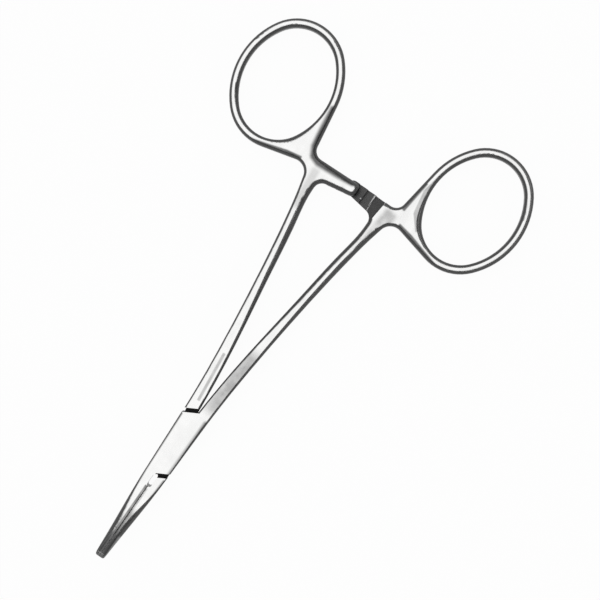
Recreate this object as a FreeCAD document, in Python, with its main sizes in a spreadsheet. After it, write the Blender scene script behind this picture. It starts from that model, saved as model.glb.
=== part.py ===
import FreeCAD, Part
import math
import os

# Curved mosquito forceps with a box lock, closed, in millimetres.
# The origin is where the pivot axis meets the plane that the box rests on.
# +Y runs along the seam of the jaws to the tips, +X is the ring side of the half that
# passes through the box, and +Z is up. Each half is drawn in its own frame, with its ring
# at +X and its jaw at -X, and the box half is the mirrored one.

Vec = FreeCAD.Vector
UP = Vec(0, 0, 1)
THROUGH_SIDE = 1
BOX_SIDE = -1
JAW_STATIONS = 6
FULL_TURN = 2 * math.pi

# How close two places or heights must be to count as the same, and the least upward
# share of a normal on a face that counts as level.
SAME = 0.02
LEVEL = 0.7

# Grooves cut past the tip, so that the row reaches it whatever the pitch
SPARE_GROOVES = 2

SIZES = [
    # Box lock
    ("box_thick", 4.2),
    ("box_reach", 7.0),
    ("box_edge_slope", 28.2),
    ("box_half_width", 2.9),
    ("box_taper", 0.036),
    ("shoulder_gap", 1.0),
    ("tongue_thick", 1.5),
    ("tongue_width", 3.2),
    ("tongue_lean", 8.7),
    ("slide_clearance", 0.05),
    ("open_angle", 50.0),
    ("crotch_gap", 0.08),
    # Rivet
    ("pin_radius", 0.95),
    ("pin_head_radius", 1.35),
    ("pin_head_height", 0.4),
    ("pin_clearance", 0.04),
    # Jaws
    ("jaw_curve_start", 9.0),
    ("jaw_curve_radius", 38.0),
    ("jaw_curve_angle", 32.0),
    ("jaw_tip_thick", 2.0),
    ("jaw_tip_width", 0.94),
    ("jaw_thinning", 1.3),
    ("jaw_middle_share", 0.695),
    ("jaw_middle_width", 1.62),
    ("jaw_tip_corner", 0.5),
    ("serration_pitch", 0.9),
    ("serration_depth", 0.24),
    ("serration_flat", 0.04),
    ("seam_gap", 0.04),
    ("serration_start", 1.8),
    ("window_width", 1.04),
    ("window_offset", 0.1),
    ("window_start", 8.75),
    ("window_end", 10.9),
    # Shanks, as stations with the share of the way from root to neck, centre offset and width
    ("root_reach", 9.5),
    ("neck_reach", 63.0),
    ("root_share", 0.0),
    ("root_offset", 1.68),
    ("root_width", 3.08),
    ("upper_share", 0.29),
    ("upper_offset", 3.1),
    ("upper_width", 2.78),
    ("middle_share", 0.607),
    ("middle_offset", 5.33),
    ("middle_width", 2.42),
    ("lower_share", 0.85),
    ("lower_offset", 7.27),
    ("lower_width", 2.52),
    ("neck_share", 1.0),
    ("neck_offset", 8.6),
    ("neck_width", 3.16),
    ("taper_before_neck", 4.0),
    ("taper_blend", 300.0),
    # Finger rings, placed from the neck
    ("ring_aside", 16.25),
    ("ring_below", 15.95),
    ("ring_bore_length", 25.8),
    ("ring_bore_width", 20.1),
    ("ring_end_radius", 8.6),
    ("facet_end_turn", 35.0),
    ("facet_side_turn", 22.0),
    ("ring_wall", 2.05),
    ("ring_thick", 2.85),
    ("ring_tilt", 5.2),
    ("notch_aside", 2.6),
    ("notch_below", 4.0),
    ("notch_radius", 2.9),
    # Ratchet bars, placed from the neck
    ("bar_above_root", 2.15),
    ("bar_above_end", 3.5),
    ("bar_below_root", 6.25),
    ("bar_below_end", 6.6),
    ("box_bar_drop", 0.3),
    ("bar_past_axis", 1.5),
    ("bar_end_radius", 1.4),
    ("bar_inner_radius", 2.1),
    ("bar_outer_radius", 2.3),
    ("neck_line_aside", 2.55),
    ("tab_root", 7.7),
    ("tab_cut_lead", 1.05),
    ("tooth_pitch", 2.2),
    ("tooth_first", 0.8),
    ("tooth_depth", 0.55),
    ("tooth_lap", 0.3),
    ("tooth_face", 0.12),
    ("tooth_count", 3),
    # Rounded edges
    ("box_round", 0.3),
    ("root_round", 0.5),
    ("root_round_share", 0.145),
    ("through_outer_round", 0.75),
    ("box_outer_round", 1.15),
    ("shank_inner_round", 1.2),
    ("ring_round", 0.9),
    ("facet_round", 1.3),
    ("bar_round", 1.3),
    ("bar_round_rise", 0.35),
    ("jaw_round", 1.1),
    ("tip_round", 0.42),
    ("seam_round", 0.25),
    # Room for cutters beyond the surface that they cut
    ("cut_room", 3.0),
]


def make_sheet(doc):
    """Fill the spreadsheet with the driving sizes."""
    sheet = doc.addObject("Spreadsheet::Sheet", "Sizes")
    for row, (name, value) in enumerate(SIZES, start=1):
        sheet.set(f"A{row}", name)
        sheet.set(f"B{row}", str(value))
        sheet.setAlias(f"B{row}", name)
    doc.recompute()
    return sheet


class Reader:
    """Reads sizes from the sheet as attributes."""

    def __init__(self, sheet):
        self.sheet = sheet

    def __getattr__(self, name):
        return float(self.sheet.get(name))


def feature(doc, name, shape):
    """Put a computed shape into the document."""
    item = doc.addObject("Part::Feature", name)
    item.Shape = shape
    return item


def extrusion(doc, name, base, direction, length):
    """Extrude a profile along a direction by a length or an expression."""
    item = doc.addObject("Part::Extrusion", name)
    item.Base = base
    item.DirMode = "Custom"
    item.Dir = direction
    item.Solid = True
    item.setExpression("LengthFwd", length)
    return item


def boolean(doc, kind, name, base, tool):
    """Join, cut or intersect two objects."""
    item = doc.addObject(f"Part::{kind}", name)
    item.Base = base
    item.Tool = tool
    return item


def line(start, end):
    """Straight edge between two points."""
    return Part.LineSegment(start, end).toShape()


def curve(points, first, last):
    """Smooth edge through points, leaving and arriving in the given directions."""
    spline = Part.BSplineCurve()
    spline.interpolate(Points=points, InitialTangent=first, FinalTangent=last)
    return spline.toShape()


# Plan of one half

def box_edge_y(size, x, end):
    """Place along Y of the slanted plate edge at x, at the jaw end (+1) or ring end (-1)."""
    slope = math.radians(size.box_edge_slope)
    return end * (size.box_reach - end * x * math.sin(slope)) / math.cos(slope)


def box_side(size, y):
    """Half width of the box at a place along it."""
    return size.box_half_width - size.box_taper * y


def box_corner(size, end):
    """Corner of side and slanted plate edge, at the jaw end (+1) or ring end (-1)."""
    slope = math.radians(size.box_edge_slope)
    rise = size.box_reach - size.box_half_width * math.sin(slope)
    y = end * rise / (math.cos(slope) - end * size.box_taper * math.sin(slope))
    return Vec(end * box_side(size, y), y, 0)


def shank_reach(size, share):
    """Distance from the pivot at a share of the way from the shank's root to its neck."""
    return size.root_reach + share * (size.neck_reach - size.root_reach)


def shank_edge(size, side):
    """Points of the outer (+1) or inner (-1) edge of the shank, from box to neck."""
    points = []
    for name in ("root", "upper", "middle", "lower", "neck"):
        reach = shank_reach(size, getattr(size, f"{name}_share"))
        offset = getattr(size, f"{name}_offset")
        width = getattr(size, f"{name}_width")
        points.append(Vec(offset + side * width / 2, -reach, 0))
    return points


def jaw_y(size, share):
    """Place along Y at a share of the curved jaw's length in plan."""
    turn = math.radians(size.jaw_curve_angle)
    return size.jaw_curve_start + share * size.jaw_curve_radius * math.sin(turn)


def jaw_tip_y(size):
    """Furthest place that the plan of the jaws must cover."""
    return jaw_y(size, 1) + size.jaw_tip_thick


def crest_side(size):
    """How far the serration crests of one jaw reach past the seam plane."""
    return (size.serration_depth - size.seam_gap) / 2


def ring_centre(size):
    """Centre of the finger ring in the half's own frame."""
    return Vec(size.neck_offset + size.ring_aside, -(size.neck_reach + size.ring_below), 0)


def ring_oval(size, wall):
    """Four tangent arcs round the finger hole, a wall outside it, anticlockwise from the far side.

    Each arc is its centre, radius, first angle and last angle.
    """
    lean = math.radians(size.ring_tilt)
    side_way = Vec(math.cos(lean), math.sin(lean), 0)
    end_way = UP.cross(side_way)
    end_gap = size.ring_bore_length / 2 - size.ring_end_radius
    side_gap = size.ring_bore_width / 2 - size.ring_end_radius
    side_shift = (end_gap ** 2 - side_gap ** 2) / (2 * side_gap)
    side_radius = size.ring_bore_width / 2 + side_shift + wall
    end_radius = size.ring_end_radius + wall
    half = math.atan2(end_gap, side_shift)
    centre = ring_centre(size)
    arcs = []
    for turn, way in ((0, 1), (math.pi, -1)):
        facing = lean + turn
        arcs.append((centre - side_way * way * side_shift, side_radius, facing - half, facing + half))
        arcs.append((centre + end_way * way * end_gap, end_radius, facing + half, facing + math.pi - half))
    return arcs


def arc_edge(centre, radius, first, last):
    """Circular edge between two angles."""
    return Part.Arc(Part.Circle(centre, UP, radius), first, last).toShape()


def on_arc(arc, angle):
    """Point of an arc at an angle."""
    return arc[0] + Vec(math.cos(angle), math.sin(angle), 0) * arc[1]


def tangent_place(arcs, point, turn):
    """Number of the arc, and angle on it, where the line from a point touches the oval."""
    for number, (centre, radius, first, last) in enumerate(arcs):
        away = point - centre
        if away.Length <= radius:
            continue
        angle = math.atan2(away.y, away.x) + turn * math.acos(radius / away.Length)
        angle = first + (angle - first) % FULL_TURN
        if angle <= last:
            return number, angle
    raise ValueError("No line from the point touches the oval")


def ring_edges(size, notch, bar_corner):
    """Outline from the notch, round the ring and back up to the bar."""
    arcs = ring_oval(size, size.ring_wall)
    notch_arc, notch_angle = tangent_place(arcs, notch, -1)
    bar_arc, bar_angle = tangent_place(arcs, bar_corner, 1)
    edges = [line(on_arc(arcs[bar_arc], bar_angle), bar_corner)]
    start = bar_angle
    for step in range((notch_arc - bar_arc) % len(arcs)):
        centre, radius, _, last = arcs[(bar_arc + step) % len(arcs)]
        edges.append(arc_edge(centre, radius, start, last))
        start = arcs[(bar_arc + step + 1) % len(arcs)][2]
    centre, radius = arcs[notch_arc][:2]
    edges.append(arc_edge(centre, radius, start, notch_angle))
    edges.append(line(notch, on_arc(arcs[notch_arc], notch_angle)))
    return edges[::-1]


def facet_arcs(size):
    """Arcs of the finger hole, with the two that meet nearest the neck divided for its facet."""
    far_side, top, near_side, bottom = ring_oval(size, 0)
    top_break = top[3] - math.radians(size.facet_end_turn)
    side_break = near_side[2] + math.radians(size.facet_side_turn)
    return [
        far_side,
        (top[0], top[1], top[2], top_break),
        (top[0], top[1], top_break, top[3]),
        (near_side[0], near_side[1], near_side[2], side_break),
        (near_side[0], near_side[1], side_break, near_side[3]),
        bottom,
    ]


def facet_place(size):
    """Place on the finger hole's edge that is nearest the neck, in plan."""
    near_side = ring_oval(size, 0)[2]
    return on_arc(near_side, near_side[2])


def bar_corners(size, drop):
    """Corners of the ratchet bar: ring side and jaw side at the neck, then at its end."""
    neck_y = -size.neck_reach - drop
    end_x = -size.bar_past_axis
    return (
        Vec(size.neck_offset + size.neck_line_aside, neck_y - size.bar_below_root, 0),
        Vec(size.neck_offset - size.neck_width / 2, neck_y - size.bar_above_root, 0),
        Vec(end_x, neck_y - size.bar_below_end, 0),
        Vec(end_x, neck_y - size.bar_above_end, 0),
    )


def notch_corner(size):
    """Corner between the shank's outer edge and the ring, before it is rounded."""
    return Vec(size.neck_offset + size.notch_aside, -size.neck_reach - size.notch_below, 0)


def half_outline(size, drop):
    """Closed wire of jaw, box, shank, ring and ratchet bar, in the half's own frame."""
    outer = shank_edge(size, 1)
    inner = shank_edge(size, -1)
    jaw_end = box_corner(size, 1)
    ring_end = box_corner(size, -1)
    crest = crest_side(size)
    window = Vec(crest, box_edge_y(size, crest, 1), 0)
    crotch_x = size.crotch_gap / 2
    crotch = Vec(crotch_x, box_edge_y(size, crotch_x, -1), 0)
    tip_inner = Vec(crest, jaw_tip_y(size), 0)
    tip_outer = Vec(-size.jaw_tip_width, jaw_tip_y(size), 0)
    jaw_middle = Vec(-size.jaw_middle_width, jaw_y(size, size.jaw_middle_share), 0)
    jaw_root = Vec(-box_side(size, size.jaw_curve_start), size.jaw_curve_start, 0)
    notch = notch_corner(size)
    low_root, high_root, low_end, high_end = bar_corners(size, drop)
    edges = [
        curve([jaw_end] + outer, Vec(size.box_taper, -1, 0), notch - outer[-1]),
        line(outer[-1], notch),
    ]
    edges += ring_edges(size, notch, low_root)
    edges += [
        line(low_root, low_end),
        line(low_end, high_end),
        line(high_end, high_root),
        line(high_root, inner[-1]),
        curve(inner[::-1] + [crotch], Vec(0, 1, 0), crotch - inner[0]),
        line(crotch, ring_end),
        line(ring_end, jaw_root),
        curve([jaw_root, jaw_middle], jaw_root - ring_end, tip_outer - jaw_middle),
        line(jaw_middle, tip_outer),
        line(tip_outer, tip_inner),
        line(tip_inner, window),
        line(window, jaw_end),
    ]
    return Part.Wire(edges)


# Side view of one half

def jaw_profile(size, side):
    """Points of the upper (+1) or lower (-1) edge of the curved jaw, root to tip."""
    middle = size.box_thick / 2
    centre = Vec(0, size.jaw_curve_start, middle + size.jaw_curve_radius)
    points = []
    for index in range(JAW_STATIONS + 1):
        share = index / JAW_STATIONS
        turn = math.radians(size.jaw_curve_angle) * share
        thin = (size.box_thick - size.jaw_tip_thick) / 2 * share ** size.jaw_thinning
        radius = size.jaw_curve_radius - side * (middle - thin)
        points.append(centre + Vec(0, radius * math.sin(turn), -radius * math.cos(turn)))
    return points


def blended(before, corner, after, radius):
    """Tangent arc in place of a corner, with its two ends."""
    back = (before - corner).normalize()
    on = (after - corner).normalize()
    half = back.getAngle(on) / 2
    reach = radius / math.tan(half)
    start = corner + back * reach
    end = corner + on * reach
    inward = (back + on).normalize()
    crown = corner + inward * (radius / math.sin(half) - radius)
    return start, end, Part.Arc(start, crown, end).toShape()


def side_profile(size):
    """Closed wire of the side view: shank tapered, ring flat, jaw curved up."""
    middle = size.box_thick / 2
    end_y = ring_centre(size).y - size.ring_bore_length / 2 - size.ring_wall - size.cut_room
    edges = []
    tips = []
    ends = []
    for side in (1, -1):
        jaw = jaw_profile(size, side)
        box_end = Vec(0, -size.root_reach, middle + side * size.box_thick / 2)
        taper_end = Vec(0, size.taper_before_neck - size.neck_reach, middle + side * size.ring_thick / 2)
        end = Vec(0, end_y, taper_end.z)
        box_start, box_stop, box_arc = blended(jaw[0], box_end, taper_end, size.taper_blend)
        ring_start, ring_stop, ring_arc = blended(box_end, taper_end, end, size.taper_blend)
        edges += [
            curve(jaw[::-1], jaw[-2] - jaw[-1], Vec(0, -1, 0)),
            line(jaw[0], box_start),
            box_arc,
            line(box_stop, ring_start),
            ring_arc,
            line(ring_stop, end),
        ]
        tips.append(jaw[-1])
        ends.append(end)
    edges += [line(*ends), line(*tips)]
    return Part.Wire(Part.__sortEdges__(edges))


# Picking edges

def faces_of(shape, edge):
    """Faces that meet at an edge."""
    return [face for face in shape.Faces if any(other.isSame(edge) for other in face.Edges)]


def normal_near(face, point):
    """Outward normal of a face at the place nearest to a point."""
    u, v = face.Surface.parameter(point)
    return face.normalAt(u, v)


def middle_of(edge):
    """Point half way along an edge."""
    return edge.valueAt((edge.FirstParameter + edge.LastParameter) / 2)


def upright_edges(shape, places):
    """Fillet entries for the upright edges at the given plan places, with their radii."""
    entries = []
    for number, edge in enumerate(shape.Edges, start=1):
        ends = [vertex.Point for vertex in edge.Vertexes]
        if len(ends) < 2 or abs(ends[0].z - ends[1].z) < SAME:
            continue
        for place, radius in places:
            if math.hypot(ends[0].x - place.x, ends[0].y - place.y) < SAME:
                entries.append((number, radius, radius))
    return entries


def rim_edges(shape, radius_at):
    """Fillet entries for the edges between the flanks and the top or bottom faces."""
    entries = []
    for number, edge in enumerate(shape.Edges, start=1):
        point = middle_of(edge)
        steep = []
        flat = []
        for face in faces_of(shape, edge):
            normal = normal_near(face, point)
            (flat if abs(normal.z) > LEVEL else steep).append(normal)
        if len(steep) != 1 or len(flat) != 1:
            continue
        first = radius_at(edge.valueAt(edge.FirstParameter), point)
        last = radius_at(edge.valueAt(edge.LastParameter), point)
        if first > 0:
            entries.append((number, first, last))
    return entries


def fillet(doc, name, base, entries):
    """Round the listed edges of an object."""
    item = doc.addObject("Part::Fillet", name)
    item.Base = base
    item.Edges = entries
    return item


# Blank of one half

def ring_bore(doc, name, size):
    """Outline of the finger hole, as a face."""
    outline = Part.Face(Part.Wire([arc_edge(*arc) for arc in facet_arcs(size)]))
    outline.translate(UP * -size.cut_room)
    return feature(doc, name, outline)


def on_plate_edge(size, point):
    """Whether a point lies on one of the slanted edges of the box plates."""
    return any(abs(point.y - box_edge_y(size, point.x, end)) < SAME for end in (1, -1))


def jaw_rounding(size, end, middle):
    """Edge radius on the jaw, from its root at the box to its tip."""
    middle_y = jaw_y(size, size.jaw_middle_share)
    if abs(middle.x - crest_side(size)) < SAME:
        return size.seam_round if middle.y > size.jaw_curve_start else 0
    if end.y > middle_y + SAME:
        return size.tip_round
    return size.jaw_round if end.y > middle_y - SAME else size.box_round


def rounding(size, outer_round):
    """Rule that gives the edge radius at each place of one half."""
    neck_y = -size.neck_reach
    bar_y = neck_y - size.bar_below_root
    facet = facet_place(size)

    def radius_at(end, middle):
        if on_plate_edge(size, middle):
            return 0
        if middle.y > size.box_reach or middle.x < -size.bar_past_axis and middle.y > -size.box_reach:
            return jaw_rounding(size, end, middle)
        if end.y > 0:
            return size.box_round
        if end.y > -shank_reach(size, size.root_round_share):
            return size.root_round
        if math.hypot(end.x - facet.x, end.y - facet.y) < SAME:
            return size.facet_round
        if end.x > notch_corner(size).x or end.y < neck_y - size.ring_below / 2:
            return size.ring_round
        if end.y < bar_y + size.bar_round_rise:
            return size.bar_round
        if middle.x < -middle.y * size.neck_offset / size.neck_reach:
            return size.shank_inner_round
        return size.ring_round if end.y < neck_y - SAME else outer_round

    return radius_at


def tip_corner(shape, size):
    """Fillet entry for the edge between the jaw's flank and its end face."""
    place = (jaw_profile(size, 1)[-1] + jaw_profile(size, -1)[-1]) / 2
    for number, edge in enumerate(shape.Edges, start=1):
        point = middle_of(edge)
        if point.x < 0 and math.hypot(point.y - place.y, point.z - place.z) < SAME:
            return [(number, size.jaw_tip_corner, size.jaw_tip_corner)]
    raise ValueError("The jaw has no corner at its tip")


def upright_arm(doc, size, label, drop):
    """Outline of one half standing up, with its corners rounded and its finger hole open."""
    plan = Part.Face(half_outline(size, drop))
    plan.translate(UP * -size.cut_room)
    height = "Sizes.box_thick + Sizes.jaw_curve_radius"
    arm = extrusion(doc, f"{label}Arm", feature(doc, f"{label}Plan", plan), UP, height)
    bore = extrusion(doc, f"{label}Bore", ring_bore(doc, f"{label}RingBore", size), UP, height)
    doc.recompute()
    low_root, high_root, low_end, high_end = bar_corners(size, drop)
    places = [
        (notch_corner(size), size.notch_radius),
        (low_root, size.bar_outer_radius),
        (high_root, size.bar_inner_radius),
        (low_end, size.bar_end_radius),
        (high_end, size.bar_end_radius),
    ]
    soft = fillet(doc, f"{label}Soft", arm, upright_edges(arm.Shape, places))
    open_ring = boolean(doc, "Cut", f"{label}OpenRing", soft, bore)
    open_ring.Refine = False
    return open_ring


def side_slab(doc, size, label):
    """Side view of one half drawn out across its whole width."""
    profile = Part.Face(side_profile(size))
    span = size.neck_offset + size.ring_aside + size.ring_bore_width
    profile.translate(Vec(-span, 0, 0))
    width = "2 * (Sizes.neck_offset + Sizes.ring_aside + Sizes.ring_bore_width)"
    return extrusion(doc, f"{label}Slab", feature(doc, f"{label}Profile", profile), Vec(1, 0, 0), width)


def make_blank(doc, size, label, drop, outer_round):
    """Rounded blank of one half: plan and side view crossed, edges rounded."""
    arm = upright_arm(doc, size, label, drop)
    crossed = boolean(doc, "Common", f"{label}Crossed", arm, side_slab(doc, size, label))
    crossed.Refine = False
    doc.recompute()
    tip = fillet(doc, f"{label}Tip", crossed, tip_corner(crossed.Shape, size))
    doc.recompute()
    return fillet(doc, f"{label}Blank", tip, rim_edges(tip.Shape, rounding(size, outer_round)))


def mirror(doc, name, source):
    """Mirror image of an object in the plane of the seam."""
    item = doc.addObject("Part::Mirroring", name)
    item.Source = source
    item.Normal = Vec(1, 0, 0)
    return item


# Box lock

def turned_box(doc, name, length, width, height, angle, low):
    """Box centred on the pivot axis, turned about it, with its underside at a height."""
    item = doc.addObject("Part::Box", name)
    item.setExpression("Length", length)
    item.setExpression("Width", width)
    item.setExpression("Height", height)
    doc.recompute()
    turn = FreeCAD.Rotation(UP, angle)
    corner = turn.multVec(Vec(-item.Length.Value / 2, -item.Width.Value / 2, 0))
    item.Placement = FreeCAD.Placement(corner + UP * low, turn)
    return item


def tongue_cut(doc, size, blank):
    """Thin the through half to a tongue between its two shoulders."""
    reach = "Sizes.box_reach + Sizes.shoulder_gap"
    across = "2 * (Sizes.box_half_width + 2 * Sizes.cut_room)"
    zone = turned_box(doc, "ShoulderZone", across, f"2 * ({reach})",
                      "Sizes.box_thick + 2 * Sizes.cut_room", size.box_edge_slope, -size.cut_room)
    low = (size.box_thick - size.tongue_thick) / 2
    tongue = turned_box(doc, "Tongue", "Sizes.tongue_width", f"2 * ({reach}) + Sizes.tongue_width",
                        "Sizes.tongue_thick", size.tongue_lean, low)
    ends = boolean(doc, "Cut", "ThroughEnds", blank, zone)
    bridge = boolean(doc, "Common", "ThroughBridge", blank, tongue)
    return boolean(doc, "Fuse", "ThroughTongued", ends, bridge)


def wall_wedge(size, end):
    """Wedge of box wall that the tongue leaves standing between closed and open."""
    gap = size.tongue_width / 2 + size.slide_clearance
    closed = math.radians(180 + size.tongue_lean)
    opened = math.radians(180 + size.tongue_lean + size.open_angle)
    half = math.radians(size.open_angle) / 2
    bisector = closed + half
    far = size.neck_reach
    apex = Vec(math.cos(bisector), math.sin(bisector), 0) * (gap / math.cos(half))
    down = Vec(-math.sin(closed), math.cos(closed), 0) * far
    up = Vec(math.sin(opened), -math.cos(opened), 0) * far
    corners = [apex, apex + down, apex + down + up, apex + up, apex]
    corners = [point * end for point in corners]
    return Part.Face(Part.makePolygon(corners))


def slot_cut(doc, size, blank):
    """Open the box for the tongue, leaving the two walls that join its plates."""
    disc = doc.addObject("Part::Cylinder", "SlotDisc")
    disc.setExpression("Radius", "Sizes.box_reach + 2 * Sizes.shoulder_gap")
    disc.setExpression("Height", "Sizes.tongue_thick + 2 * Sizes.slide_clearance")
    low = (size.box_thick - size.tongue_thick) / 2 - size.slide_clearance
    disc.Placement.Base = UP * low
    slot = disc
    for end, name in ((1, "RingWall"), (-1, "JawWall")):
        plan = feature(doc, f"{name}Plan", wall_wedge(size, end))
        wall = extrusion(doc, name, plan, UP, "Sizes.box_thick")
        slot = boolean(doc, "Cut", f"Slot{name}", slot, wall)
    return boolean(doc, "Cut", "BoxSlotted", blank, slot)


def make_pin(doc, size):
    """Rivet with both ends peened flush into the countersunk plates."""
    shaft = doc.addObject("Part::Cylinder", "PinShaft")
    shaft.setExpression("Radius", "Sizes.pin_radius")
    shaft.setExpression("Height", "Sizes.box_thick")
    heads = []
    ends = [("PinLowHead", "head_radius", "radius"), ("PinHighHead", "radius", "head_radius")]
    for name, first, last in ends:
        head = doc.addObject("Part::Cone", name)
        head.setExpression("Radius1", f"Sizes.pin_{first}")
        head.setExpression("Radius2", f"Sizes.pin_{last}")
        head.setExpression("Height", "Sizes.pin_head_height")
        heads.append(head)
    heads[1].Placement.Base = UP * (size.box_thick - size.pin_head_height)
    pin = doc.addObject("Part::MultiFuse", "Pin")
    pin.Shapes = [shaft] + heads
    return pin


# Jaws

def window_cutter(doc, size):
    """Cutter of the rounded window between the jaw roots."""
    radius = size.window_width / 2
    low = Vec(-size.window_offset, size.window_start, -size.cut_room)
    high = Vec(-size.window_offset, size.window_end, -size.cut_room)
    aside = Vec(radius, 0, 0)
    edges = [
        line(low + aside, high + aside),
        Part.Arc(high + aside, high + Vec(0, radius, 0), high - aside).toShape(),
        line(high - aside, low - aside),
        Part.Arc(low - aside, low - Vec(0, radius, 0), low + aside).toShape(),
    ]
    plan = feature(doc, "WindowPlan", Part.Face(Part.Wire(edges)))
    return extrusion(doc, "Window", plan, UP, "Sizes.box_thick + 2 * Sizes.cut_room")


def groove(size, side):
    """V-groove cutter across the seam face, pointing down from the jaw's curve centre."""
    half_pitch = size.serration_pitch / size.jaw_curve_radius / 2
    crest = crest_side(size)
    over = size.serration_depth
    wires = []
    for radius in (size.jaw_curve_radius - size.box_thick, size.jaw_curve_radius + size.box_thick):
        half = radius * half_pitch - size.serration_flat / 2
        wide = half * (size.serration_depth + over) / size.serration_depth
        corners = [
            Vec(side * (crest - size.serration_depth), 0, -radius),
            Vec(side * (crest + over), wide, -radius),
            Vec(side * (crest + over), -wide, -radius),
        ]
        wires.append(Part.makePolygon(corners + corners[:1]))
    return Part.makeLoft(wires, True, True)


def serration_cutter(doc, size, side):
    """Row of grooves fanned about the centre of the jaw's curve, half a pitch apart on the two jaws."""
    pitch = size.serration_pitch / size.jaw_curve_radius
    start = size.serration_start / size.jaw_curve_radius - (0 if side == THROUGH_SIDE else pitch / 2)
    count = math.ceil((math.radians(size.jaw_curve_angle) - start) / pitch) + SPARE_GROOVES
    centre = Vec(0, size.jaw_curve_start, size.box_thick / 2 + size.jaw_curve_radius)
    tools = []
    for index in range(count):
        tool = groove(size, side)
        tool.rotate(Vec(0, 0, 0), Vec(1, 0, 0), math.degrees(start + index * pitch))
        tool.translate(centre)
        tools.append(tool)
    label = "Through" if side == THROUGH_SIDE else "Box"
    return feature(doc, f"{label}Serrations", tools[0].fuse(tools[1:]))


# Ratchet

def ratchet_cutter(doc, size, side):
    """Cutter that leaves a toothed tab, with teeth radial to the pivot."""
    middle = size.box_thick / 2
    crest = middle + size.tooth_lap / 2
    valley = crest - size.tooth_depth
    fall = size.tooth_depth / (size.tooth_pitch - size.tooth_face)
    top = size.box_thick + size.cut_room
    end = size.bar_past_axis + size.cut_room
    profile = [(-size.tab_root, top), (-size.tab_root, valley)]
    for index in reversed(range(int(size.tooth_count))):
        place = -(size.tooth_first + index * size.tooth_pitch)
        profile += [(place - size.tooth_face, valley), (place, crest)]
    profile += [(end, crest - fall * (end + size.tooth_first)), (end, top)]
    middle_reach = size.neck_reach + (size.bar_above_end + size.bar_below_end) / 2
    near = size.neck_reach + size.bar_above_root - size.tab_cut_lead
    far = size.neck_reach + size.bar_below_root + size.cut_room
    wires = []
    for reach in (near, far):
        share = reach / middle_reach
        corners = [Vec(x * share, -reach, z) for x, z in profile]
        wires.append(Part.makePolygon(corners + corners[:1]))
    cutter = Part.makeLoft(wires, True, True)
    if side == THROUGH_SIDE:
        cutter.rotate(Vec(0, 0, middle), Vec(0, 1, 0), 180)
    label = "Through" if side == THROUGH_SIDE else "Box"
    return feature(doc, f"{label}Ratchet", cutter)


# The three pieces

def finish_half(doc, size, side, name, item, cutters):
    """Cut the jaw, ratchet and pivot details of one half and name it."""
    label = "Through" if side == THROUGH_SIDE else "Box"
    cutters = cutters + [serration_cutter(doc, size, side), ratchet_cutter(doc, size, side)]
    for number, cutter in enumerate(cutters, start=1):
        item = boolean(doc, "Cut", f"{label}Step{number}", item, cutter)
    item.Label = name
    return item


def check(doc, pieces):
    """Stop if any object failed or any piece isn't one valid solid."""
    for item in doc.Objects:
        if {"Invalid", "Error"} & set(item.State):
            raise RuntimeError(f"{item.Name} failed")
    for piece in pieces:
        if piece.Shape.isNull() or not piece.Shape.isValid():
            raise RuntimeError(f"{piece.Label} has no valid shape")
        if len(piece.Shape.Solids) != 1:
            raise RuntimeError(f"{piece.Label} is {len(piece.Shape.Solids)} solids")


def main():
    """Build, check and write the three pieces."""
    doc = FreeCAD.newDocument("Forceps")
    size = Reader(make_sheet(doc))
    pin = make_pin(doc, size)
    window = window_cutter(doc, size)
    bearing = doc.addObject("Part::Cylinder", "Bearing")
    bearing.setExpression("Radius", "Sizes.pin_radius + Sizes.pin_clearance")
    bearing.setExpression("Height", "Sizes.box_thick")
    through_blank = make_blank(doc, size, "Through", 0, size.through_outer_round)
    through = tongue_cut(doc, size, through_blank)
    through = finish_half(doc, size, THROUGH_SIDE, "through_half", through, [window, bearing])
    box_blank = make_blank(doc, size, "Box", size.box_bar_drop, size.box_outer_round)
    box = slot_cut(doc, size, mirror(doc, "BoxMirrored", box_blank))
    box = finish_half(doc, size, BOX_SIDE, "box_half", box, [window, pin])
    pin.Label = "pivot_pin"
    doc.recompute()
    pieces = [box, through, pin]
    check(doc, pieces)
    os.makedirs("parts", exist_ok=True)
    for piece in pieces:
        piece.Shape.exportStep(f"parts/{piece.Label}.step")


main()
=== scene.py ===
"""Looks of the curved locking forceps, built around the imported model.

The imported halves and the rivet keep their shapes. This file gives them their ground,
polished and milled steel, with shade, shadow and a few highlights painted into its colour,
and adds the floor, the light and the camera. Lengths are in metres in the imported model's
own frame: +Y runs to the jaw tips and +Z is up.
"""

import logging
import math
from dataclasses import dataclass, field
from enum import Enum

import bpy
import numpy as np
from mathutils import Matrix, Vector

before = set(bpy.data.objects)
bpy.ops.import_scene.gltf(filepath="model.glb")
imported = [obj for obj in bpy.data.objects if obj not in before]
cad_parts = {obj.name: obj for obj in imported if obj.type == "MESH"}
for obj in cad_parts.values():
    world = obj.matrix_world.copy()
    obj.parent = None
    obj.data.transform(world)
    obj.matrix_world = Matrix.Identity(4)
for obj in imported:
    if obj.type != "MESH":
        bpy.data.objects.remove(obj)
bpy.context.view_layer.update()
log = logging.getLogger("forceps")

MM = 0.001

# Middle height and half height, in mm, of a strip that goes through the whole thickness
STRIP_MIDDLE = 4.0
STRIP_HALF_HEIGHT = 6.0


class Half(Enum):
    """The two crossed halves, by the side that their finger ring is on."""

    BOX = -1
    THROUGH = 1


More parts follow.
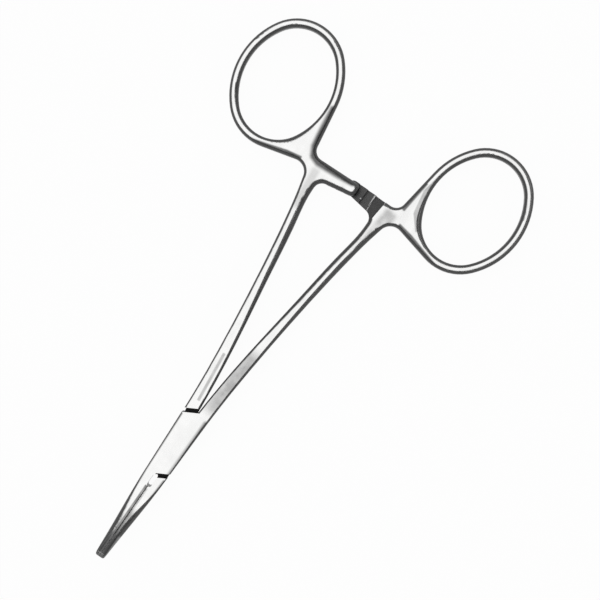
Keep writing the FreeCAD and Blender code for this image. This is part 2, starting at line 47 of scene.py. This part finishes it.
class Graph:
    """Short calls for laying out the nodes of one tree."""

    def __init__(self, tree: bpy.types.NodeTree) -> None:
        """Keep the tree that the nodes go into.

        Args:
            tree: A material's, a world's or a group's node tree.
        """
        self.tree = tree

    def node(self, kind: str, **settings: object) -> bpy.types.Node:
        """Add a node.

        Args:
            kind: Blender's name for the node's type, without ShaderNode.
            settings: Properties to set on the node.

        Returns:
            The new node.
        """
        made = self.tree.nodes.new(f"ShaderNode{kind}")
        for name, value in settings.items():
            setattr(made, name, value)
        return made

    def feed(self, socket: bpy.types.NodeSocket, value: object) -> None:
        """Link a socket to another, or set it to a plain value.

        Args:
            socket: The input to feed.
            value: An output socket, a number or a tuple.
        """
        if isinstance(value, bpy.types.NodeSocket):
            self.tree.links.new(value, socket)
        else:
            socket.default_value = value

    def math(self, operation: str, *values: object, clamp: bool = False) -> bpy.types.NodeSocket:
        """Add a Math node.

        Args:
            operation: Blender's name for the operation.
            values: Its inputs in order, sockets or numbers.
            clamp: Whether the result is held between 0 and 1.

        Returns:
            The result's socket.
        """
        made = self.node("Math", operation=operation, use_clamp=clamp)
        for socket, value in zip(made.inputs, values):
            self.feed(socket, value)
        return made.outputs[0]

    def vector(self, operation: str, *values: object, out: int = 0) -> bpy.types.NodeSocket:
        """Add a Vector Math node.

        Args:
            operation: Blender's name for the operation.
            values: Its inputs in order, sockets or tuples.
            out: Which output to return: 0 for a vector, 1 for a number.

        Returns:
            The result's socket.
        """
        made = self.node("VectorMath", operation=operation)
        for socket, value in zip(made.inputs, values):
            self.feed(socket, value)
        return made.outputs[out]

    def blend(self, share: object, first: object, second: object) -> bpy.types.NodeSocket:
        """Mix two colours.

        Args:
            share: How much of the second colour, from 0 to 1.
            first: A colour or its socket.
            second: A colour or its socket.

        Returns:
            The mixed colour's socket.
        """
        made = self.node("Mix", data_type="RGBA")
        self.feed(made.inputs[0], share)
        self.feed(made.inputs[6], first)
        self.feed(made.inputs[7], second)
        return made.outputs[2]

    def between(self, share: object, first: object, second: object) -> bpy.types.NodeSocket:
        """Mix two numbers.

        Args:
            share: How much of the second number, from 0 to 1.
            first: A number or its socket.
            second: A number or its socket.

        Returns:
            The mixed number's socket.
        """
        made = self.node("Mix", data_type="FLOAT")
        self.feed(made.inputs[0], share)
        self.feed(made.inputs[2], first)
        self.feed(made.inputs[3], second)
        return made.outputs[0]

    def ramp(self, value: object, low: object, high: object) -> bpy.types.NodeSocket:
        """Smooth step from 0 at low to 1 at high.

        Args:
            value: The number to compare.
            low: Where the step starts.
            high: Where it ends.

        Returns:
            The step's socket.
        """
        made = self.node("MapRange", interpolation_type="SMOOTHSTEP")
        for socket, item in zip(made.inputs, (value, low, high, 0.0, 1.0)):
            self.feed(socket, item)
        return made.outputs[0]

    def use(self, group: bpy.types.NodeTree, **inputs: object) -> dict[str, bpy.types.NodeSocket]:
        """Place a node group and feed its inputs.

        Args:
            group: The group's tree.
            inputs: Values or sockets by input name, with underscores for spaces.

        Returns:
            The group's output sockets by name.
        """
        made = self.node("Group", node_tree=group)
        for name, value in inputs.items():
            self.feed(made.inputs[name.replace("_", " ").capitalize()], value)
        return {socket.name: socket for socket in made.outputs}


class Group:
    """A node group that is built once and placed wherever its effect is needed."""

    KINDS = {float: "NodeSocketFloat", tuple: "NodeSocketVector"}

    def __init__(self, name: str, inputs: dict[str, float | tuple], outputs: dict[str, type]) -> None:
        """Make the empty group with its named sockets.

        Args:
            name: The group's name.
            inputs: Default value by input name.
            outputs: Python type by output name, float or tuple.
        """
        self.tree = bpy.data.node_groups.new(name, "ShaderNodeTree")
        for label, value in inputs.items():
            socket = self.tree.interface.new_socket(
                name=label, in_out="INPUT", socket_type=self.KINDS[type(value)])
            socket.default_value = value
        for label, kind in outputs.items():
            self.tree.interface.new_socket(
                name=label, in_out="OUTPUT", socket_type=self.KINDS[kind])
        self.graph = Graph(self.tree)
        self.inputs = self.tree.nodes.new("NodeGroupInput").outputs
        self.results = self.tree.nodes.new("NodeGroupOutput").inputs

    def give(self, **values: bpy.types.NodeSocket) -> bpy.types.NodeTree:
        """Wire the results to the group's outputs.

        Args:
            values: Result sockets by output name, in lower case.

        Returns:
            The finished group.
        """
        for name, value in values.items():
            self.graph.feed(self.results[name.replace("_", " ").capitalize()], value)
        return self.tree


def flat_mask_group() -> bpy.types.NodeTree:
    """Mask that is 1 where a surface faces up or down and 0 where it is steep.

    The mask is a smooth step of the size of the normal's Z between two cosines.

    Returns:
        The group.
    """
    made = Group("flat faces", {"Normal": (0.0, 0.0, 1.0), "Steep": 0.6, "Level": 0.9}, {"Mask": float})
    graph = made.graph
    parts = graph.node("SeparateXYZ")
    graph.feed(parts.inputs[0], made.inputs["Normal"])
    upright = graph.math("ABSOLUTE", parts.outputs[2])
    return made.give(mask=graph.ramp(upright, made.inputs["Steep"], made.inputs["Level"]))


def zone_mask_group() -> bpy.types.NodeTree:
    """Mask that is 1 inside a box turned about Z and fades to 0 over a soft edge outside it.

    The position is turned back about the box's centre, and the distance outside the box is
    the length of the part of |position - centre| that is beyond the half size on each axis.

    Returns:
        The group.
    """
    made = Group("zone", {"Position": (0.0, 0.0, 0.0), "Centre": (0.0, 0.0, 0.0),
                          "Half size": (1.0, 1.0, 1.0), "Turn": 0.0, "Soft": 0.001}, {"Mask": float})
    graph = made.graph
    turned = graph.node("VectorRotate", rotation_type="Z_AXIS")
    graph.feed(turned.inputs["Vector"], made.inputs["Position"])
    graph.feed(turned.inputs["Center"], made.inputs["Centre"])
    graph.feed(turned.inputs["Angle"], graph.math("MULTIPLY", made.inputs["Turn"], -1.0))
    away = graph.vector("ABSOLUTE", graph.vector("SUBTRACT", turned.outputs[0], made.inputs["Centre"]))
    beyond = graph.vector("SUBTRACT", away, made.inputs["Half size"])
    beyond = graph.vector("MAXIMUM", beyond, (0.0, 0.0, 0.0))
    distance = graph.vector("LENGTH", beyond, out=1)
    outside = graph.ramp(distance, 0.0, made.inputs["Soft"])
    return made.give(mask=graph.math("SUBTRACT", 1.0, outside))


def streak_group() -> bpy.types.NodeTree:
    """Fine lines and broad soft streaks that run along one way, as hand polishing leaves.

    Noise is read from the position squeezed along the grain, so its cells are long there.

    Returns:
        The group, with a Fine and a Broad value from 0 to 1.
    """
    made = Group("polishing streaks", {"Position": (0.0, 0.0, 0.0), "Along": (1.0, 0.06, 1.0),
                                       "Fineness": 5000.0, "Breadth": 700.0},
                 {"Fine": float, "Broad": float})
    graph = made.graph
    squeezed = graph.vector("MULTIPLY", made.inputs["Position"], made.inputs["Along"])
    values = {}
    for name, scale in (("fine", "Fineness"), ("broad", "Breadth")):
        noise = graph.node("TexNoise")
        graph.feed(noise.inputs["Vector"], squeezed)
        graph.feed(noise.inputs["Scale"], made.inputs[scale])
        graph.feed(noise.inputs["Detail"], 3.0)
        values[name] = noise.outputs[0]
    return made.give(**values)


def cloud_group() -> bpy.types.NodeTree:
    """Soft blotches, as handling and cleaning leave on steel.

    Returns:
        The group, with a Value from 0 to 1.
    """
    made = Group("handling blotches", {"Position": (0.0, 0.0, 0.0), "Size": 0.004}, {"Value": float})
    graph = made.graph
    noise = graph.node("TexNoise")
    graph.feed(noise.inputs["Vector"], made.inputs["Position"])
    graph.feed(noise.inputs["Scale"], graph.math("DIVIDE", 1.0, made.inputs["Size"]))
    graph.feed(noise.inputs["Detail"], 4.0)
    graph.feed(noise.inputs["Roughness"], 0.6)
    return made.give(value=graph.ramp(noise.outputs[0], 0.35, 0.65))


def hand_ground_group() -> bpy.types.NodeTree:
    """Low waves that grinding by hand leaves on a flat, long along the steel.

    Returns:
        The group, with a Height in metres.
    """
    made = Group("hand grinding", {"Position": (0.0, 0.0, 0.0), "Length": 0.006, "Depth": 0.0002},
                 {"Height": float})
    graph = made.graph
    noise = graph.node("TexNoise")
    graph.feed(noise.inputs["Vector"], graph.vector("MULTIPLY", made.inputs["Position"], (2.2, 1.0, 0.2)))
    graph.feed(noise.inputs["Scale"], graph.math("DIVIDE", 1.0, made.inputs["Length"]))
    graph.feed(noise.inputs["Detail"], 1.0)
    return made.give(height=graph.math("MULTIPLY", noise.outputs[0], made.inputs["Depth"]))


def cutter_marks_group() -> bpy.types.NodeTree:
    """Even fine ridges that a milling cutter leaves, along Y.

    Returns:
        The group, with a Height from 0 to 1.
    """
    made = Group("cutter marks", {"Position": (0.0, 0.0, 0.0), "Pitch": 0.0002}, {"Height": float})
    graph = made.graph
    wave = graph.node("TexWave", bands_direction="X", wave_profile="SIN")
    graph.feed(wave.inputs["Vector"], made.inputs["Position"])
    graph.feed(wave.inputs["Scale"], graph.math("DIVIDE", 0.314, made.inputs["Pitch"]))
    graph.feed(wave.inputs["Distortion"], 1.2)
    graph.feed(wave.inputs["Detail"], 2.0)
    return made.give(height=wave.outputs[1])


@dataclass
class Shop:
    """The shared effects, each built once."""

    flat: bpy.types.NodeTree = field(default_factory=flat_mask_group)
    zone: bpy.types.NodeTree = field(default_factory=zone_mask_group)
    streaks: bpy.types.NodeTree = field(default_factory=streak_group)
    cloud: bpy.types.NodeTree = field(default_factory=cloud_group)
    ground: bpy.types.NodeTree = field(default_factory=hand_ground_group)
    marks: bpy.types.NodeTree = field(default_factory=cutter_marks_group)


@dataclass(frozen=True)
class Zone:
    """A box of the object's space, turned about Z, with a soft edge. Sizes are in millimetres."""

    centre: tuple[float, float, float]
    half_size: tuple[float, float, float]
    soft: float
    turn: float = 0.0

    @classmethod
    def span(cls, low: tuple[float, float, float], high: tuple[float, float, float],
             soft: float) -> "Zone":
        """Zone between two opposite corners, square to the axes.

        Args:
            low: The lowest corner.
            high: The highest corner.
            soft: Width of the fading edge.

        Returns:
            The zone.
        """
        low_corner, high_corner = np.array(low), np.array(high)
        centre, half = (low_corner + high_corner) / 2, (high_corner - low_corner) / 2
        return cls(tuple(centre.tolist()), tuple(half.tolist()), soft)

    @classmethod
    def strip(cls, start: tuple[float, float], end: tuple[float, float], width: float,
              soft: float) -> "Zone":
        """Zone along a line in plan, through the whole thickness of the steel.

        Args:
            start: One end of the line.
            end: The other end.
            width: Full width across the line.
            soft: Width of the fading edge.

        Returns:
            The zone.
        """
        run = (end[0] - start[0], end[1] - start[1])
        centre = ((start[0] + end[0]) / 2, (start[1] + end[1]) / 2, STRIP_MIDDLE)
        half_size = (math.hypot(*run) / 2, width / 2, STRIP_HALF_HEIGHT)
        return cls(centre, half_size, soft, math.atan2(run[1], run[0]))

    @classmethod
    def path(cls, points: list[tuple[float, float]], width: float, soft: float) -> tuple["Zone", ...]:
        """Strips end to end along a bent line in plan.

        Args:
            points: The line's points in order.
            width: Full width across the line.
            soft: Width of the fading edge.

        Returns:
            The zones.
        """
        return tuple(cls.strip(start, end, width, soft) for start, end in zip(points, points[1:]))

    def mask(self, graph: Graph, shop: Shop, position: bpy.types.NodeSocket) -> bpy.types.NodeSocket:
        """Place the zone's mask.

        Args:
            graph: The material's nodes.
            shop: The shared effects.
            position: The socket of the position on the object.

        Returns:
            The mask's socket.
        """
        placed = graph.use(shop.zone, position=position, centre=tuple(v * MM for v in self.centre),
                           half_size=tuple(v * MM for v in self.half_size), turn=self.turn,
                           soft=self.soft * MM)
        return placed["Mask"]


@dataclass(frozen=True)
class PaintedShade:
    """Painted shade on flats: the zones, and the share by which the polish gives way to the painted flank
    shade.
    """

    zones: tuple[Zone, ...]
    shade_share: float
    mottle: float = 0.2

    def share(self, graph: Graph, shop: Shop, position: bpy.types.NodeSocket,
              cloud: bpy.types.NodeSocket) -> bpy.types.NodeSocket:
        """Place the share of painted shade, mottled by the blotches.

        Args:
            graph: The material's nodes.
            shop: The shared effects.
            position: The socket of the position on the object.
            cloud: The socket of the blotches.

        Returns:
            The share's socket.
        """
        mask = self.zones[0].mask(graph, shop, position)
        for zone in self.zones[1:]:
            mask = graph.math("MAXIMUM", mask, zone.mask(graph, shop, position))
        swing = 2.0 * self.mottle * self.shade_share
        shade_share = graph.math("MULTIPLY_ADD", cloud, swing, self.shade_share - swing / 2.0)
        return graph.math("MULTIPLY", shade_share, mask, clamp=True)


@dataclass(frozen=True)
class Touches:
    """Where the steel of one piece departs from plain polished flats."""

    milled_and_shaded: tuple[Zone, ...] = ()
    painted_shadow: tuple[Zone, ...] = ()
    painted_highlight: tuple[Zone, ...] = ()
    ground: tuple[Zone, ...] = ()
    tip_shade_zones: tuple[Zone, ...] = ()
    shades: tuple[PaintedShade, ...] = ()


@dataclass(frozen=True)
class Steel:
    """Forged stainless steel: flats polished bright; steep flanks rougher and painted dark as shade; milled
    faces rougher, with cutter marks and a dark colour that is partly painted shade; painted shadow,
    highlights and tip shade in zones.
    """

    polished: tuple[float, float, float, float] = (0.78, 0.78, 0.775, 1.0)
    # Painted shade: the near-black colour of steep flanks, standing in for the dark surroundings that
    # polished steel would reflect there.
    painted_flank_shade: tuple[float, float, float, float] = (0.085, 0.085, 0.085, 1.0)
    # Milled faces: the rougher finish and the cutter marks are real, but the dark colour is partly painted
    # shade, on the recessed ratchet tab and on the jaws' end faces.
    milled_and_shaded: tuple[float, float, float, float] = (0.09, 0.09, 0.09, 1.0)
    # Painted shadow: near black on the lock's inside faces, seen down the slots where shade falls.
    painted_shadow: tuple[float, float, float, float] = (0.016, 0.016, 0.016, 1.0)
    # Painted highlight: light grey glints on the crests of the ratchet's teeth.
    painted_highlight: tuple[float, float, float, float] = (0.50, 0.50, 0.50, 1.0)
    # Painted shade: the darker colour of the jaws' ends, where the curving jaw turns away from the light.
    painted_tip_shade: tuple[float, float, float, float] = (0.19, 0.19, 0.19, 1.0)
    polished_roughness: float = 0.16
    satin_roughness: float = 0.30
    milled_roughness: float = 0.42
    line_depth: float = 0.004 * MM
    mark_depth: float = 0.012 * MM
    roughness_swing: float = 0.08
    steep: float = 0.88
    level: float = 0.985
    streak_swing: float = 0.16
    blotch_loss: float = 0.05
    tip_swing: float = 4.0
    tip_middle: float = 0.55
    tip_along: tuple[float, float, float] = (1.0, 0.03, 0.03)
    tip_breadth: float = 1400.0

    def material(self, name: str, shop: Shop, touches: Touches) -> bpy.types.Material:
        """Build the finish as a material.

        Args:
            name: The material's name.
            shop: The shared effects.
            touches: Where the steel departs from plain polished flats.

        Returns:
            The material.
        """
        made = bpy.data.materials.new(name)
        made.use_nodes = True
        graph = Graph(made.node_tree)
        shader = made.node_tree.nodes["Principled BSDF"]
        place = graph.node("TexCoord")
        position, normal = place.outputs["Object"], place.outputs["Normal"]
        flat = graph.use(shop.flat, normal=normal, steep=self.steep, level=self.level)["Mask"]
        streaks = graph.use(shop.streaks, position=position)
        cloud = graph.use(shop.cloud, position=position)["Value"]
        # Painted shade zones take part of the flats' share, moving them towards the painted flank shade.
        for shade in touches.shades:
            kept = graph.math("SUBTRACT", 1.0, shade.share(graph, shop, position, cloud))
            flat = graph.math("MULTIPLY", flat, kept)
        # Steep faces take the painted flank shade and flats take the polish. The painted shade zones have
        # already cut the flats' share.
        colour = graph.blend(flat, self.painted_flank_shade, self.polished)
        rough = graph.between(flat, self.satin_roughness, self.polished_roughness)
        tone = graph.math("MULTIPLY_ADD", streaks["Broad"], self.streak_swing, 1.0 - self.streak_swing / 2.0)
        blotches = graph.math("MULTIPLY_ADD", cloud, self.blotch_loss, 1.0 - self.blotch_loss)
        tone = graph.math("MULTIPLY", tone, blotches)
        height = self.surface_height(graph, shop, touches, position, streaks["Fine"])
        lines = graph.use(shop.streaks, position=position, along=self.tip_along,
                          breadth=self.tip_breadth)["Broad"]
        # Painted shade towards the jaw tips: a darker colour, rougher, with strong streaks along the jaw.
        for zone in touches.tip_shade_zones:
            mask = zone.mask(graph, shop, position)
            colour = graph.blend(mask, colour, self.painted_tip_shade)
            rough = graph.between(mask, rough, self.satin_roughness)
            swing = graph.math("MULTIPLY_ADD", lines, self.tip_swing, -self.tip_swing * self.tip_middle)
            tone = graph.math("MULTIPLY", tone, graph.math("MULTIPLY_ADD", mask, swing, 1.0))
        # Milled faces (dark partly as painted shade), painted shadow in the lock slots, and painted
        # highlights on the ratchet's crests.
        for zones, steel in ((touches.milled_and_shaded, self.milled_and_shaded), (touches.painted_shadow, self.painted_shadow),
                             (touches.painted_highlight, self.painted_highlight)):
            for zone in zones:
                mask = zone.mask(graph, shop, position)
                colour = graph.blend(mask, colour, steel)
                rough = graph.between(mask, rough, self.milled_roughness)
        tint = graph.node("CombineColor")
        for socket in tint.inputs:
            graph.feed(socket, tone)
        toned = graph.node("Mix", data_type="RGBA", blend_type="MULTIPLY")
        graph.feed(toned.inputs[0], 1.0)
        graph.feed(toned.inputs[6], colour)
        graph.feed(toned.inputs[7], tint.outputs[0])
        bump = graph.node("Bump")
        graph.feed(bump.inputs["Distance"], 1.0)
        graph.feed(bump.inputs["Height"], height)
        graph.feed(shader.inputs["Metallic"], 1.0)
        graph.feed(shader.inputs["Base Color"], toned.outputs[2])
        rough = graph.math("MULTIPLY_ADD", streaks["Broad"], self.roughness_swing, rough)
        graph.feed(shader.inputs["Roughness"], rough)
        graph.feed(shader.inputs["Normal"], bump.outputs[0])
        return made

    def surface_height(self, graph: Graph, shop: Shop, touches: Touches, position: bpy.types.NodeSocket,
                       fine: bpy.types.NodeSocket) -> bpy.types.NodeSocket:
        """Add up the small relief: polishing lines, hand-ground waves and cutter marks.

        Args:
            graph: The material's nodes.
            shop: The shared effects.
            touches: Where the steel departs from plain polished flats.
            position: The socket of the position on the object.
            fine: The socket of the fine polishing lines.

        Returns:
            The socket of the height in metres.
        """
        height = graph.math("MULTIPLY", fine, self.line_depth)
        waves = graph.use(shop.ground, position=position)["Height"]
        for zone in touches.ground:
            height = graph.math("MULTIPLY_ADD", zone.mask(graph, shop, position), waves, height)
        mark = graph.math("MULTIPLY", graph.use(shop.marks, position=position)["Height"], self.mark_depth)
        for zone in touches.milled_and_shaded:
            height = graph.between(zone.mask(graph, shop, position), height, mark)
        return height


@dataclass
class Arm:
    """One half with its box or tongue, jaw, shank, finger ring and ratchet tab. Sizes are in mm."""

    half: Half
    node: str
    tab_root: float = 7.75
    tab_near: float = 63.5
    tab_far: float = 73.0
    cut_low: float = 1.5
    cut_high: float = 2.42
    lock_ring_side: float = 3.05
    lock_jaw_side: float = 2.50
    lock_near: float = 3.0
    lock_far: float = 9.6
    lock_skin: float = 0.32
    box_thick: float = 4.2
    tip_start: float = 23.2
    tip_end: float = 28.75
    tip_shift: float = 0.9
    jaw_side: float = 4.0
    past_tips: float = 40.0
    below: float = -2.0
    above: float = 20.0
    ground_top: float = 6.0
    root_side: float = 30.0
    root_ground: tuple[float, float] = (-21.0, -13.0)
    neck_side: float = 15.0
    neck_ground: tuple[float, float] = (-71.0, -62.0)
    finish: Steel = field(default_factory=Steel)

    def ratchet_zone(self) -> Zone:
        """Zone of the milled tab between its root and the far end of its teeth; its dark colour is partly
        painted shade.
        """
        return Zone.span((-self.tab_root, -self.tab_far, self.cut_low),
                         (self.tab_root, -self.tab_near, self.cut_high), 0.05)

    def lock_zones(self) -> tuple[Zone, ...]:
        """Zones of the lock's inside faces, seen down the slots at both ends of the box, which get the
        painted shadow.
        """
        low, high = self.lock_skin, self.box_thick - self.lock_skin
        ring, jaw = self.lock_ring_side, self.lock_jaw_side
        return (Zone.span((-ring, -self.lock_far, low), (ring, -self.lock_near, high), 0.05),
                Zone.span((-jaw, self.lock_near, low), (jaw, self.lock_far, high), 0.05))

    def ground_zones(self) -> tuple[Zone, ...]:
        """Zones of the shank's root and of the neck, which are ground by hand."""
        zones = []
        for side, (far, near), soft in ((self.root_side, self.root_ground, 6.0),
                                        (self.neck_side, self.neck_ground, 5.0)):
            zones.append(Zone.span((-side, far, 0.0), (side, near, self.ground_top), soft))
        return tuple(zones)

    def past(self, start: float, soft: float) -> Zone:
        """Zone of everything on the jaws past one place.

        Args:
            start: The place's Y.
            soft: Width of the fading edge.

        Returns:
            The zone.
        """
        return Zone.span((-self.jaw_side, start, self.below),
                         (self.jaw_side, self.past_tips, self.above), soft)

    def tip_zone(self) -> Zone:
        """Zone of the jaw's end, painted darker as shade where the jaw curves, with streaks along the jaw.
        """
        return self.past(self.tip_start + self.tip_shift, 0.9)

    def end_zone(self) -> Zone:
        """Zone of the jaw's square end face, painted dark with the milled colour as shade, and given cutter
        marks.
        """
        return self.past(self.tip_end, 0.15)

    def ring_top(self) -> PaintedShade:
        """Painted shade strip on the jaw-side edge of the finger ring, which runs off under the rounding."""
        side = self.half.value
        line = [(side * x, y) for x, y in ((13.2, -67.1), (16.5, -66.5), (20.5, -65.3), (24.5, -64.2))]
        return PaintedShade(Zone.path(line, 0.3, 0.45), 0.90, 0.05)

    def through_shades(self) -> tuple[PaintedShade, ...]:
        """Painted shade on the half that passes through the box."""
        shank_line = Zone.strip((1.5, -10.5), (2.6, -22.0), 0.35, 0.3)
        neck = Zone.strip((8.0, -58.0), (8.8, -66.5), 0.6, 1.2)
        jaw_end = Zone.strip((-0.7, 19.0), (-0.7, 24.5), 1.6, 2.5)
        seam = Zone.strip((-0.1, 12.0), (-0.1, 25.0), 0.35, 0.25)
        bar = [(0.6, -69.2), (4.0, -68.8), (9.3, -68.5), (10.9, -69.1), (11.9, -71.0),
               (12.5, -75.0), (13.1, -80.0)]
        jaw_edge = Zone.strip((-2.45, 8.6), (-2.15, 14.0), 0.1, 0.6)
        return (PaintedShade((shank_line,), 0.38), PaintedShade((neck,), 0.25), PaintedShade((jaw_end,), 0.50),
                PaintedShade((seam,), 0.34), PaintedShade(Zone.path(bar, 0.8, 1.05), 0.94, 0.03), self.ring_top(),
                PaintedShade((jaw_edge,), 0.85, 0.05))

    def box_shades(self) -> tuple[PaintedShade, ...]:
        """Painted shade on the half that carries the box."""
        shank_root = Zone.strip((-2.9, -11.5), (-3.6, -24.0), 1.4, 3.6)
        neck = Zone.strip((-9.2, -56.0), (-10.2, -68.0), 1.6, 1.4)
        ring_facet = [(-17.2, -68.3), (-14.7, -71.3), (-13.8, -76.5), (-14.7, -81.0)]
        ring_flank = Zone.strip((-12.0, -70.5), (-12.9, -78.0), 0.25, 0.45)
        seam = Zone.strip((0.3, 11.5), (0.3, 25.0), 0.30, 0.3)
        box_edge = Zone.strip((-2.7, 7.5), (-2.85, -7.0), 0.1, 1.0)
        jaw_edge = [(2.95, -6.0), (2.5, 8.5), (2.0, 16.0)]
        return (PaintedShade((shank_root,), 0.50), PaintedShade((neck,), 0.33, 0.4),
                PaintedShade(Zone.path(ring_facet, 0.7, 0.35), 0.42), self.ring_top(),
                PaintedShade((ring_flank,), 0.90, 0.05), PaintedShade((seam,), 0.70),
                PaintedShade((box_edge,), 0.86, 0.05), PaintedShade(Zone.path(jaw_edge, 0.1, 0.38), 0.90, 0.05))

    def touches(self) -> Touches:
        """Collect the places where this half's steel departs from plain polished flats.

        Returns:
            The places.
        """
        shared = {"milled_and_shaded": (self.ratchet_zone(), self.end_zone()), "painted_shadow": self.lock_zones(),
                  "ground": self.ground_zones(), "tip_shade_zones": (self.tip_zone(),)}
        if self.half is Half.THROUGH:
            return Touches(**shared, shades=self.through_shades())
        # Painted highlights on the box half's ratchet tab: a line along one tooth crest and a glint dot on
        # the next crest.
        crest_highlight_line = Zone.strip((-5.3, -65.9), (-5.1, -69.5), 0.18, 0.12)
        crest_highlight_dot = Zone.strip((-2.75, -67.2), (-2.75, -67.3), 0.25, 0.12)
        return Touches(**shared, painted_highlight=(crest_highlight_line, crest_highlight_dot), shades=self.box_shades())

    def dress(self, shop: Shop) -> None:
        """Give the half its steel.

        Args:
            shop: The shared effects.
        """
        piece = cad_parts[self.node]
        piece.data.materials.clear()
        piece.data.materials.append(self.finish.material(f"{self.node} steel", shop, self.touches()))
        log.info("%s: %d faces", self.node, len(piece.data.polygons))


@dataclass
class Rivet:
    """The pivot's rivet, ground flush with the box plates."""

    node: str = "pivot_pin"
    finish: Steel = field(default_factory=Steel)

    def dress(self, shop: Shop) -> None:
        """Give the rivet its steel.

        Args:
            shop: The shared effects.
        """
        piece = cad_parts[self.node]
        piece.data.materials.clear()
        piece.data.materials.append(self.finish.material("rivet steel", shop, Touches()))
        log.info("%s: %d faces", self.node, len(piece.data.polygons))


@dataclass
class Studio:
    """Pale floor, overhead soft light and the camera above the instrument."""

    centre: tuple[float, float] = (-4.45 * MM, -41.2 * MM)
    distance: float = 0.350
    field_width: float = 132.5 * MM
    subject_height: float = 2.1 * MM
    image_right: tuple[float, float, float] = (-0.8244, -0.566, 0.0)
    image_up: tuple[float, float, float] = (0.566, -0.8244, 0.0)
    sensor: float = 36.0
    clip: tuple[float, float] = (0.01, 20.0)
    floor_size: float = 6.0
    floor_drop: float = 0.05 * MM
    floor_colour: tuple[float, float, float, float] = (0.9, 0.9, 0.9, 1.0)
    floor_lift: float = 0.96
    panel_half_angle: float = 33.0
    panel_edge: float = 4.0
    panel_lean: tuple[float, float] = (17.0, 1.0)
    panel_strength: float = 1.25
    dim_strength: float = 0.085
    wall_strength: float = 1.0
    wall_top: tuple[float, float] = (30.0, 42.0)

    def camera(self) -> bpy.types.Object:
        """Make the camera that looks straight down at the instrument.

        Returns:
            The camera.
        """
        data = bpy.data.cameras.new("camera")
        data.sensor_width = self.sensor
        data.lens = self.sensor * (self.distance - self.subject_height) / self.field_width
        data.clip_start, data.clip_end = self.clip
        made = bpy.data.objects.new("camera", data)
        back = Vector(self.image_right).cross(Vector(self.image_up))
        turn = Matrix((self.image_right, self.image_up, back)).transposed()
        made.matrix_world = Matrix.Translation((*self.centre, self.distance)) @ turn.to_4x4()
        bpy.context.scene.collection.objects.link(made)
        bpy.context.scene.camera = made
        return made

    def seen_directly(self, graph: Graph) -> bpy.types.NodeSocket:
        """Socket that is 1 for what the camera, gloss or glass sees, and 0 for soft light."""
        rays = graph.node("LightPath").outputs
        seen = graph.math("MAXIMUM", rays["Is Camera Ray"], rays["Is Glossy Ray"])
        return graph.math("MAXIMUM", seen, rays["Is Transmission Ray"])

    def floor(self) -> bpy.types.Object:
        """Make the pale floor, which shows near white but keeps a soft shadow.

        Returns:
            The floor.
        """
        half = self.floor_size / 2
        corners = np.array([[-1, -1, 0], [1, -1, 0], [1, 1, 0], [-1, 1, 0]], float) * half
        corners[:, 2] = -self.floor_drop
        mesh = bpy.data.meshes.new("floor")
        mesh.from_pydata(corners.tolist(), [], [[0, 1, 2, 3]])
        material = bpy.data.materials.new("floor paper")
        material.use_nodes = True
        graph = Graph(material.node_tree)
        graph.tree.nodes.clear()
        matt = graph.node("BsdfDiffuse")
        graph.feed(matt.inputs["Color"], self.floor_colour)
        glow = graph.node("Emission")
        graph.feed(glow.inputs["Color"], (1.0, 1.0, 1.0, 1.0))
        graph.feed(glow.inputs["Strength"], 1.0)
        mixed = graph.node("MixShader")
        graph.feed(mixed.inputs[0], graph.math("MULTIPLY", self.seen_directly(graph), self.floor_lift))
        graph.feed(mixed.inputs[1], matt.outputs[0])
        graph.feed(mixed.inputs[2], glow.outputs[0])
        graph.feed(graph.node("OutputMaterial").inputs["Surface"], mixed.outputs[0])
        mesh.materials.append(material)
        made = bpy.data.objects.new("floor", mesh)
        bpy.context.scene.collection.objects.link(made)
        return made

    def light(self) -> None:
        """Light the scene from a soft overhead panel and pale low walls, with a dim ring between.

        The panel is a smooth step of the cosine between the direction and its middle, over
        its edge. The walls are a smooth step of the sine of the direction's elevation.
        """
        world = bpy.data.worlds.new("studio")
        world.use_nodes = True
        graph = Graph(world.node_tree)
        graph.tree.nodes.clear()
        direction = graph.node("TexCoord").outputs["Generated"]
        lean = [math.tan(math.radians(angle)) for angle in self.panel_lean]
        middle = Vector((*lean, 1.0)).normalized()
        toward = graph.vector("DOT_PRODUCT", direction, tuple(middle), out=1)
        outer = math.cos(math.radians(self.panel_half_angle + self.panel_edge))
        inner = math.cos(math.radians(self.panel_half_angle - self.panel_edge))
        rise = graph.vector("DOT_PRODUCT", direction, (0.0, 0.0, 1.0), out=1)
        low, high = (math.sin(math.radians(angle)) for angle in self.wall_top)
        walls = graph.between(graph.ramp(rise, low, high), self.wall_strength, self.dim_strength)
        strength = graph.between(graph.ramp(toward, outer, inner), walls, self.panel_strength)
        back = graph.node("Background")
        graph.feed(back.inputs["Color"], (1.0, 1.0, 1.0, 1.0))
        graph.feed(back.inputs["Strength"], strength)
        graph.feed(graph.node("OutputWorld").inputs["Surface"], back.outputs[0])
        bpy.context.scene.world = world

    def build(self) -> None:
        """Make the camera, floor and light, and set the plain view transform."""
        self.camera()
        self.floor()
        self.light()
        bpy.context.scene.view_settings.view_transform = "Standard"
        log.info("studio: camera %.0f mm above the instrument", self.distance / MM)


def main() -> None:
    """Dress the three pieces and set up the studio."""
    logging.basicConfig(level=logging.INFO, format="%(name)s: %(message)s")
    Studio().build()
    shop = Shop()
    for piece in (Arm(Half.BOX, "box_half"), Arm(Half.THROUGH, "through_half"), Rivet()):
        piece.dress(shop)


if __name__ == "__main__":
    main()
